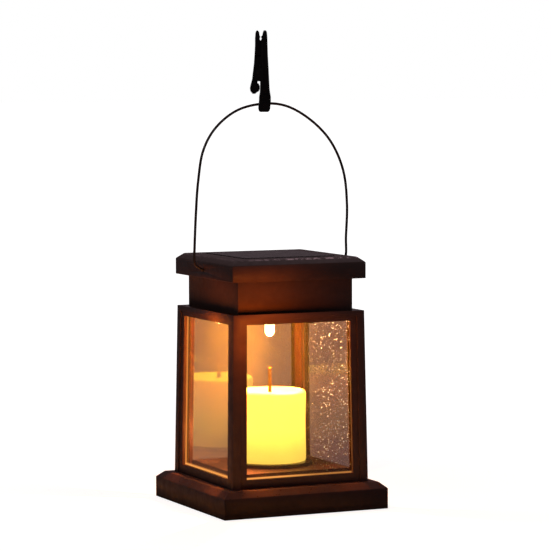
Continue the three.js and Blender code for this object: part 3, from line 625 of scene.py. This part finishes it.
def add_piece(mesh, material, body, slot, *stands_for):
    """A piece that rides on a body, takes the given material as its finish, and stands for CAD
    nodes. The slot is not used.
    """
    mesh.materials.append(material)
    piece = bpy.data.objects.new(mesh.name, mesh)
    bpy.context.scene.collection.objects.link(piece)
    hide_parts(*stands_for)
    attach(piece, body)
    return piece


def arc(radius, centre_r, centre_z, start, end, steps):
    """Points of a profile on part of a circle, from one angle to another in degrees."""
    points = []
    for i in range(steps + 1):
        a = math.radians(start + (end - start) * i / steps)
        points.append((centre_r + radius * math.cos(a), centre_z + radius * math.sin(a)))
    return points


# Candle: a moulded pillar whose rim has slumped a little, dished round the wick.

CANDLE_WALL, CANDLE_RIM_R, WICK_HOLE_R = 1.5, 2.0, 1.15


def make_candle():
    low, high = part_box("candle_shell")
    radius = (high.x - low.x) / 2 / MM
    foot, top = low.z / MM, high.z / MM
    inner = radius - CANDLE_WALL

    def slump(r, angle, z):
        near_top = max(0.0, min(1.0, (z - top + 9) / 9)) * min(1.0, r / 8)
        sag = 0.16 * math.sin(2 * angle + 0.7) + 0.11 * math.sin(3 * angle + 2.1)
        ripple = 0.07 * math.sin(5 * angle + z / 6) + 0.05 * math.sin(9 * angle - z / 4)
        bulge = ripple if r > inner + 0.2 else 0.0
        return r + bulge * min(1.0, r / 12) - 0.12, z + near_top * (sag - 0.27)

    profile = [(WICK_HOLE_R + 0.12, top - 1.3), (2.2, top - 1.25), (4, top - 1.1), (7, top - 0.85)]
    profile += [(10, top - 0.62), (13, top - 0.42), (15.5, top - 0.2), (17, top - 0.05)]
    profile += arc(CANDLE_RIM_R, radius - CANDLE_RIM_R, top - CANDLE_RIM_R, 80, 0, 8)
    wall_steps = 14
    wall_top = top - CANDLE_RIM_R - 0.6
    profile += [(radius, wall_top + (foot + 0.6 - wall_top) * i / wall_steps)
                for i in range(wall_steps + 1)]
    profile += [(radius - 0.3, foot), (inner, foot), (inner, top - 3.4), (inner - 1, top - 2.6)]
    profile += [(8, top - 2.5), (WICK_HOLE_R + 0.12, top - 2.4)]
    mesh = skin("candle_pillar", turned(profile, 120, slump), looped=True)
    add_piece(mesh, candle, "lantern", "candle", "candle_shell")


# Wick: a cord of three twisted strands, burnt to a blunt tip, on a round foot under the wax.

WICK_STRANDS, WICK_TURN = 3, 0.95  # turn: radians in each millimetre


def make_wick():
    low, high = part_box("candle_wick")
    foot, top = low.z / MM, high.z / MM
    shell_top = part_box("candle_shell")[1].z / MM
    foot_r = (high.x - low.x) / 2 / MM

    def twist(r, angle, z):
        if z < shell_top - 2.7:
            return r, z
        lobe = abs(math.cos(WICK_STRANDS / 2 * (angle - WICK_TURN * z)))
        return r * (0.8 + 0.24 * lobe), z + 0.12 * math.sin(angle + 1) * (z > top - 1)

    profile = [(foot_r, foot), (foot_r, shell_top - 2.75)]
    steps = 60
    stem = shell_top - 2.7
    for i in range(steps + 1):
        z = stem + (top - 0.7 - stem) * i / steps
        profile.append((1.0 - 0.12 * (i / steps) ** 3, z))
    profile += [(0.7, top - 0.35), (0.35, top - 0.15)]
    mesh = skin("candle_cord", turned(profile, 30, twist), smooth_angle=60)
    add_piece(mesh, cord_wick, "lantern", "wick", "candle_wick")


# Lamp: a round epoxy lens with a flat on its flange, as five millimetre diodes have.

LED_R, LED_FLANGE_R, LED_FLAT = 2.5, 2.95, 2.55


def make_led():
    low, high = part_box("led_lens")
    tip, back = low.z / MM, high.z / MM

    def flat_side(r, angle, z):
        across = r * math.cos(angle)
        if r > LED_R and across < -LED_FLAT:
            return r * LED_FLAT / -across, z
        return r, z

    dome = arc(LED_R, 0, tip + LED_R, -87, 0, 14)
    profile = dome + [(LED_R, back - 1.2), (LED_R + 0.1, back - 1.02)]
    profile += [(LED_FLANGE_R - 0.1, back - 1), (LED_FLANGE_R, back - 0.9)]
    profile += [(LED_FLANGE_R, back - 0.1), (LED_FLANGE_R - 0.1, back)]
    mesh = skin("led_dome", turned(profile, 48, flat_side))
    add_piece(mesh, lens, "cap", "led", "led_lens")


# Bail: one round wire from hole to hole, on the same points as the solid.

WIRE_R, WIRE_SIDES = 0.66, 16
BAIL_ARC = [
    (-41.6, 124.8), (-41.4, 132), (-40.7, 147), (-39.3, 165), (-36.3, 181), (-29.5, 192.1),
    (-17.5, 200.8), (-2.6, 204), (9.8, 202.7), (23.4, 195.5), (34.6, 184.6), (41.8, 169.6),
    (44, 152), (43.4, 135), (43, 124.8),
]  # x and z, in millimetres
BAIL_END = [(32.6, 120.4), (36.2, 120.4), (37.6, 120.9), (41, 123.2)]


def between(p, q, t, start, end):
    return (p * (end - t) + q * (t - start)) / (end - start)


def smooth_curve(points, steps):
    """Points on a centripetal Catmull-Rom curve through the given ones."""
    padded = [2 * points[0] - points[1], *points, 2 * points[-1] - points[-2]]
    curve = []
    for a, b, c, d in zip(padded, padded[1:], padded[2:], padded[3:]):
        knots = [0.0]
        for p, q in ((a, b), (b, c), (c, d)):
            knots.append(knots[-1] + (q - p).length ** 0.5)
        for i in range(steps):
            t = knots[1] + (knots[2] - knots[1]) * i / steps
            first = between(a, b, t, knots[0], knots[1])
            second = between(b, c, t, knots[1], knots[2])
            third = between(c, d, t, knots[2], knots[3])
            early = between(first, second, t, knots[0], knots[2])
            late = between(second, third, t, knots[1], knots[3])
            curve.append(between(early, late, t, knots[1], knots[2]))
    return curve + [points[-1]]


def make_bail():
    left = [(-x, z) for x, z in BAIL_END]
    route = [Vector((x, 0, z)) * MM for x, z in left + BAIL_ARC + BAIL_END[::-1]]
    curve = smooth_curve(route, 8)
    rings = []
    for i, point in enumerate(curve):
        along = curve[min(i + 1, len(curve) - 1)] - curve[max(i - 1, 0)]
        across = along.normalized().cross(Vector((0, 1, 0)))
        ring = []
        for k in range(WIRE_SIDES):
            a = 2 * math.pi * k / WIRE_SIDES
            ring.append(point + (across * math.cos(a) + Vector((0, math.sin(a), 0))) * WIRE_R * MM)
        rings.append(ring)
    add_piece(skin("bail_wire", rings, smooth_angle=50), wire, "bail", "bail_wire", "bail")


# Clip pin: a short rod with a domed rivet head on each cheek.

CLIP_TURN = math.radians(-24.6)
PIN_R, RIVET_R, RIVET_HIGH = 0.7, 0.86, 0.3


def make_pin():
    low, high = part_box("clip_pin")
    middle = (low + high) / 2
    half = ((high.y - low.y) / 2 / MM - PIN_R * abs(math.sin(CLIP_TURN))) / math.cos(CLIP_TURN)
    head = [(0.12, half + RIVET_HIGH), (0.4, half + RIVET_HIGH * 0.9),
            (0.7, half + RIVET_HIGH * 0.6), (RIVET_R, half + 0.05), (RIVET_R, half + 0.01)]
    profile = [(r, -z) for r, z in head] + [(PIN_R, 0.02 - half), (PIN_R, half - 0.02)] + head[::-1]
    mesh = skin("clip_rivet", turned(profile, 24))
    lay = Matrix.Rotation(CLIP_TURN, 4, "Z") @ Matrix.Rotation(math.radians(90), 4, "X")
    mesh.transform(Matrix.Translation(middle) @ lay)
    add_piece(mesh, black, "clip", "clip", "clip_pin")


# Screws: a domed pan head with a cross recess, pointing down, and a ridged shank above it.

SCREW_SIZES = {  # head height and shank radius, in millimetres
    "base": (1.0, 1.15), "cap": (1.1, 1.05), "candle": (1.1, 1.0),
}
THREAD_PITCH, THREAD_ROOT = 0.7, 0.78  # root radius as a part of the shank's
SCREW_SIDES = 32
RECESS_DEEP = 0.55


def make_screw(kind, number, body):
    node = f"{kind}_screw_{number}"
    low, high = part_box(node)
    middle = (low + high) / 2
    head_r = (high.x - low.x) / 2 / MM
    face, tip = low.z / MM, high.z / MM
    head_high, shank_r = SCREW_SIZES[kind]
    seat = face + head_high
    made = bmesh.new()
    arm, reach = head_r * 0.11, head_r * 0.58
    cross = []
    for turn in range(4):
        c, s = math.cos(turn * math.pi / 2), math.sin(turn * math.pi / 2)
        for x, y in ((reach, -arm), (reach, arm), (arm, arm)):
            cross.append((x * c - y * s, x * s + y * c))

    def ring(points, z):
        return [made.verts.new((x * MM, y * MM, z * MM)) for x, y in points]

    def circle(r):
        turns = [2 * math.pi * i / SCREW_SIDES for i in range(SCREW_SIDES)]
        return [(r * math.cos(a), r * math.sin(a)) for a in turns]

    def wall(a, b):
        for i in range(len(a)):
            j = (i + 1) % len(a)
            made.faces.new((a[i], a[j], b[j], b[i]))

    slot_floor = ring([(x * 0.72, y * 0.72) for x, y in cross], face + RECESS_DEEP)
    slot_edge = ring(cross, face)
    made.faces.new(slot_floor)
    wall(slot_floor, slot_edge)
    crown = ring(circle(head_r * 0.72), face)
    edges = []
    for loop in (slot_edge, crown):
        for pair in zip(loop, loop[1:] + loop[:1]):
            edges.append(made.edges.get(pair) or made.edges.new(pair))
    bmesh.ops.triangle_fill(made, edges=edges, use_beauty=True)
    before = crown
    shank = [(head_r * 0.9, face + 0.12), (head_r * 0.98, face + 0.35), (head_r, face + 0.6),
             (head_r, seat), (shank_r, seat)]
    z = seat + 0.4
    while z < tip - 1.2:
        shank += [(shank_r * THREAD_ROOT, z), (shank_r, z + THREAD_PITCH * 0.45)]
        z += THREAD_PITCH
    shank += [(shank_r * THREAD_ROOT, z), (0.15, tip)]
    for r, height in shank:
        after = ring(circle(r), height)
        wall(before, after)
        before = after
    made.faces.new(before)
    mesh = finished(f"{kind}_pan_screw_{number}", made)
    mesh.transform(Matrix.Translation((middle.x, middle.y, 0)))
    add_piece(mesh, steel, body, "steel", node)


# Solar panel: a dark backing with four cell strips, each with two tabs soldered along it.

CELL_STRIPS, CELL_GAP, PANEL_EDGE = 4, 0.6, 1.4
CELL, BACKING, TAB = 0, 1, 2  # places in the panel's list of materials
TAB_HALF, TAB_THICK = 0.45, 0.1


def slab(made, x0, x1, y0, y1, z0, z1, chamfer, finish):
    """A low slab with a chamfered top, in millimetres."""
    low = [(x0, y0), (x1, y0), (x1, y1), (x0, y1)]
    top = [(x0 + chamfer, y0 + chamfer), (x1 - chamfer, y0 + chamfer),
           (x1 - chamfer, y1 - chamfer), (x0 + chamfer, y1 - chamfer)]
    levels = ((low, z0), (low, z1 - chamfer), (top, z1))
    loops = [[made.verts.new((x * MM, y * MM, z * MM)) for x, y in points] for points, z in levels]
    faces = [made.faces.new(loops[0][::-1]), made.faces.new(loops[-1])]
    for a, b in zip(loops, loops[1:]):
        for i in range(4):
            j = (i + 1) % 4
            faces.append(made.faces.new((a[i], a[j], b[j], b[i])))
    for face in faces:
        face.material_index = finish


def make_panel():
    low, high = (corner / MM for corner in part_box("solar_board"))
    made = bmesh.new()
    backing, cell_top = high.z - 0.35, high.z - TAB_THICK
    slab(made, low.x, high.x, low.y, high.y, low.z, backing, 0.1, BACKING)
    pitch = (high.x - low.x - 2 * PANEL_EDGE + CELL_GAP) / CELL_STRIPS
    for i in range(CELL_STRIPS):
        x0 = low.x + PANEL_EDGE + i * pitch
        x1 = x0 + pitch - CELL_GAP
        slab(made, x0, x1, low.y + PANEL_EDGE, high.y - PANEL_EDGE, backing, cell_top, 0.08, CELL)
        for part in (0.27, 0.73):
            middle = x0 + (x1 - x0) * part
            slab(made, middle - TAB_HALF, middle + TAB_HALF, low.y + 0.8, high.y - 0.8,
                 cell_top, high.z, 0.03, TAB)
    mesh = finished("solar_cells", made)
    piece = add_piece(mesh, cells, "cap", "solar_cell", "solar_board")
    for finish in (backing_board, steel):
        piece.data.materials.append(finish)


make_candle()
make_wick()
make_led()
make_bail()
make_pin()
for number in range(1, 5):
    make_screw("base", number, "lantern")
    make_screw("cap", number, "cap")
for number in (1, 2):
    make_screw("candle", number, "lantern")
make_panel()

# ---- Stage --------------------------------------------------------------------------------


def make_floor():
    mesh = bpy.data.meshes.new("floor")
    made = bmesh.new()
    bmesh.ops.create_grid(made, x_segments=1, y_segments=1, size=20)
    made.to_mesh(mesh)
    made.free()
    floor = bpy.data.objects.new("floor", mesh)
    floor.location.z = -0.0005
    bpy.context.scene.collection.objects.link(floor)
    g = Graph("floor")
    away = g.node("ShaderNodeVectorMath", operation="LENGTH")
    g.put(away.inputs[0], g.node("ShaderNodeTexCoord").outputs["Object"])
    whiteness = g.span(away.outputs["Value"], 0.1, 0.5, 0.88, 1.1)
    seen = g.node("ShaderNodeLightPath").outputs["Is Camera Ray"]
    g.principled(
        Base_Color=g.mix(g.span(g.noise(400, 3), 0.3, 0.7), (0.4, 0.4, 0.4), (0.42, 0.42, 0.42)),
        Roughness=0.9, Specular_IOR_Level=0.1, Emission_Color=(1, 1, 1),
        Emission_Strength=g.product(seen, whiteness),
    )
    mesh.materials.append(g.material)


LIGHTS_AIM = Vector((0, 0, 0.1))


def area_light(name, at, size, watts, colour):
    data = bpy.data.lights.new(name, "AREA")
    data.shape = "DISK"
    data.size = size
    data.energy = watts
    data.color = colour
    light = bpy.data.objects.new(name, data)
    light.location = at
    light.rotation_euler = (LIGHTS_AIM - Vector(at)).to_track_quat("-Z", "Y").to_euler()
    bpy.context.scene.collection.objects.link(light)


def lamp(name, at, watts, colour, radius, lit=()):
    """A small round lamp that lights everything, or only the nodes in lit."""
    data = bpy.data.lights.new(name, "POINT")
    data.energy = watts
    data.color = colour
    data.shadow_soft_size = radius
    light = bpy.data.objects.new(name, data)
    light.location = at
    bpy.context.scene.collection.objects.link(light)
    light.visible_glossy = False
    if lit:
        group = bpy.data.collections.new(name + "_linked")
        for node in lit:
            group.objects.link(NODES[node])
        for entry in group.collection_objects:
            entry.light_linking.link_state = "INCLUDE"
        light.light_linking.receiver_collection = group


def make_world():
    """White to look at, but a dim evening sky to the object."""
    world = bpy.data.worlds.new("world")
    world.use_nodes = True
    tree = world.node_tree
    sky = tree.nodes["Background"]
    sky.inputs["Color"].default_value = (1, 0.76, 0.84, 1)
    sky.inputs["Strength"].default_value = 0.12
    white = tree.nodes.new("ShaderNodeBackground")
    white.inputs["Color"].default_value = (1, 1, 1, 1)
    seen = tree.nodes.new("ShaderNodeLightPath")
    mixed = tree.nodes.new("ShaderNodeMixShader")
    tree.links.new(seen.outputs["Is Camera Ray"], mixed.inputs[0])
    tree.links.new(sky.outputs[0], mixed.inputs[1])
    tree.links.new(white.outputs[0], mixed.inputs[2])
    tree.links.new(mixed.outputs[0], tree.nodes["World Output"].inputs["Surface"])
    bpy.context.scene.world = world


make_floor()
make_world()
area_light("key", (-1.1, -0.7, 1.2), 1.0, 3.6, (1, 0.98, 0.95))
area_light("top", (0.2, 0.5, 1.5), 1.2, 1.6, (1, 0.78, 0.86))

LED_COLOUR, HALO_COLOUR, DECK_COLOUR = (1, 0.42, 0.12), (1, 0.3, 0.03), (1, 0.5, 0.2)
LAMP_R = 0.006
led_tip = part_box("led_lens")[0].z
lamp("led_glow", (0, 0, led_tip - 0.0012), 3.0, LED_COLOUR, 0.001)
for side, at, watts in (  # the glow of the lamp on the headers
    ("front", (-0.0235, -0.0555, 0.0915), 0.17), ("left", (-0.0435, -0.014, 0.09), 0.07),
    ("right", (0.055, 0, 0.0915), 0.1), ("back", (0, 0.056, 0.0915), 0.1),
):
    lamp("halo_" + side, at, watts, HALO_COLOUR, LAMP_R)
DECK_LAMP_AT = 0.026
deck_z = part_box("candle_seat")[0].z + 0.014
for corner, x, y, watts in (  # the candle's glow on the deck round it
    ("front_left", -1, -1, 0.4), ("front_right", 1, -1, 0.06),
    ("back_left", -1, 1, 0.14), ("back_right", 1, 1, 0.05),
):
    lamp("deck_" + corner, (DECK_LAMP_AT * x, DECK_LAMP_AT * y, deck_z), watts, DECK_COLOUR,
         LAMP_R, lit=["base_shell", "frame"])
bpy.context.scene.view_settings.view_transform = "Standard"
